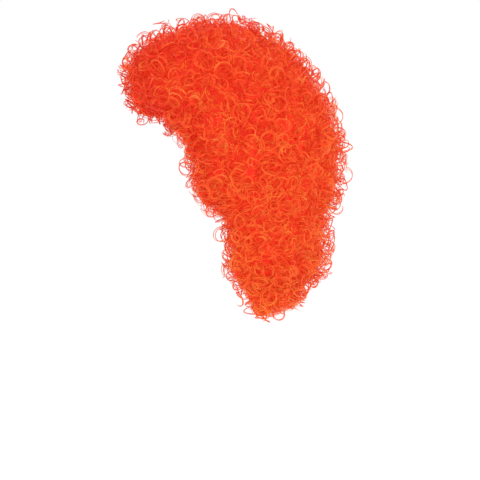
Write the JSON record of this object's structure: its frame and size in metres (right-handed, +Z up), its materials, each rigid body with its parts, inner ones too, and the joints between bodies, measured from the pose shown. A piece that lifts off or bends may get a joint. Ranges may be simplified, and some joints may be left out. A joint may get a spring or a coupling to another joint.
{
  "type": "curly costume wig",
  "caption": "Curly shoulder-length costume wig in its worn shape: an elastic and net cap with sewn wefts, and nape adjuster straps that slide to take in the cap.",
  "frame": {"origin": "centre of the head that wears the wig, at ear level, on the middle plane", "axes": "+Z up along the head, +Y to the back of the head, -Y the way the face looks, +X to the wearer's left"},
  "size_m": [0.2638, 0.2828, 0.3993],
  "materials": {
    "curls": "glossy synthetic fibre curls",
    "net": "soft openwork net",
    "elastic": "woven elastic",
    "weft_track": "folded, stitched thread",
    "stay": "smooth",
    "hook": "moulded",
    "label": "satin ribbon, blank"
  },
  "bodies": {
    "cap": {"curls_crown": "curls", "curls_fringe_top": "curls", "curls_top_left": "curls", "curls_top_right": "curls", "curls_top_back": "curls", "curls_fringe": "curls", "curls_temple_left": "curls", "curls_temple_right": "curls", "curls_upper_back": "curls", "curls_ear_left": "curls", "curls_ear_right": "curls", "curls_mid_back": "curls", "curls_jaw_left": "curls", "curls_jaw_right": "curls", "curls_low_back": "curls", "curls_neck_left": "curls", "curls_neck_right": "curls", "curls_nape": "curls", "curls_long_left": "curls", "curls_long_right": "curls", "curls_long_back": "curls", "curls_tips_left": "curls", "curls_tips_right": "curls", "curls_tips_back": "curls", "crown_net": "net", "crown_ribbon": "elastic", "front_band": "elastic", "ear_tab_left": "elastic", "ear_tab_right": "elastic", "ear_stay_left": "stay", "ear_stay_right": "stay", "edge_elastic_left": "elastic", "edge_elastic_right": "elastic", "nape_band": "elastic", "ribbon_center": "elastic", "ribbon_inner_left": "elastic", "ribbon_inner_right": "elastic", "ribbon_outer_left": "elastic", "ribbon_outer_right": "elastic", "ribbon_ear_left": "elastic", "ribbon_ear_right": "elastic", "weft_row_1": "weft_track", "weft_row_2": "weft_track", "weft_row_3": "weft_track", "weft_row_4": "weft_track", "weft_row_5": "weft_track", "weft_row_6": "weft_track", "weft_row_7": "weft_track", "weft_row_8": "weft_track", "crown_wefts": "weft_track", "front_wefts": "weft_track", "strap_sleeve_left": "elastic", "strap_sleeve_right": "elastic", "hook_loops_left": "weft_track", "hook_loops_right": "weft_track", "care_label": "label"},
    "adjuster_left": {"strap_left": "elastic", "hook_left": "hook"},
    "adjuster_right": {"strap_right": "elastic", "hook_right": "hook"}
  },
  "joints": [
    {"name": "adjust_left", "type": "hinge", "parent": "cap", "child": "adjuster_left", "pos_m": [0, 0.019, -0.064], "axis": [0, 0, 1], "range_deg": [0, 16]},
    {"name": "adjust_right", "type": "hinge", "parent": "cap", "child": "adjuster_right", "pos_m": [0, 0.019, -0.064], "axis": [0, 0, -1], "range_deg": [0, 16]}
  ]
}
